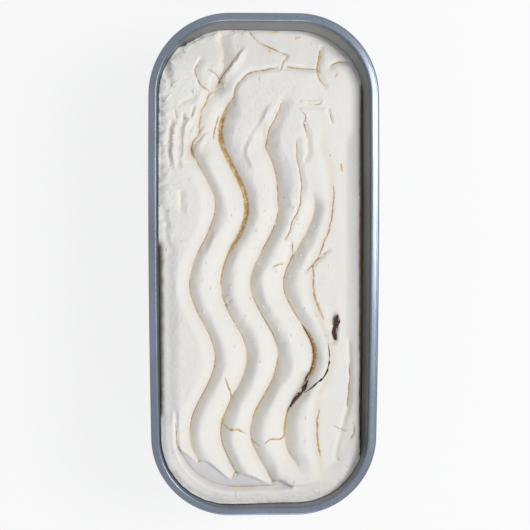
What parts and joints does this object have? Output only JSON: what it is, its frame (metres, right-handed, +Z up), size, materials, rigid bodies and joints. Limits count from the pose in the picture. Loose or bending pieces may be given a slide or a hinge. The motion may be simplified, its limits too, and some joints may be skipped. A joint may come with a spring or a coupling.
{
  "type": "filled ice cream pan",
  "caption": "Long round-cornered steel serving pan filled with vanilla ice cream in wavy spatula rolls, with chocolate and caramel sauce in the creases.",
  "frame": {"origin": "centre of the pan's underside", "axes": "+Z up out of the pan, +Y along its length towards the scraped, flatter end of the ice cream"},
  "size_m": [0.165, 0.36, 0.12],
  "materials": {
    "steel": "satin",
    "ice_cream": "matte",
    "chocolate": "glossy",
    "caramel": "glossy"
  },
  "bodies": {
    "root": {"pan": "steel", "ice_cream": "ice_cream", "chocolate_pool": "chocolate", "chocolate_ribbon": "chocolate"}
  },
  "joints": []
}
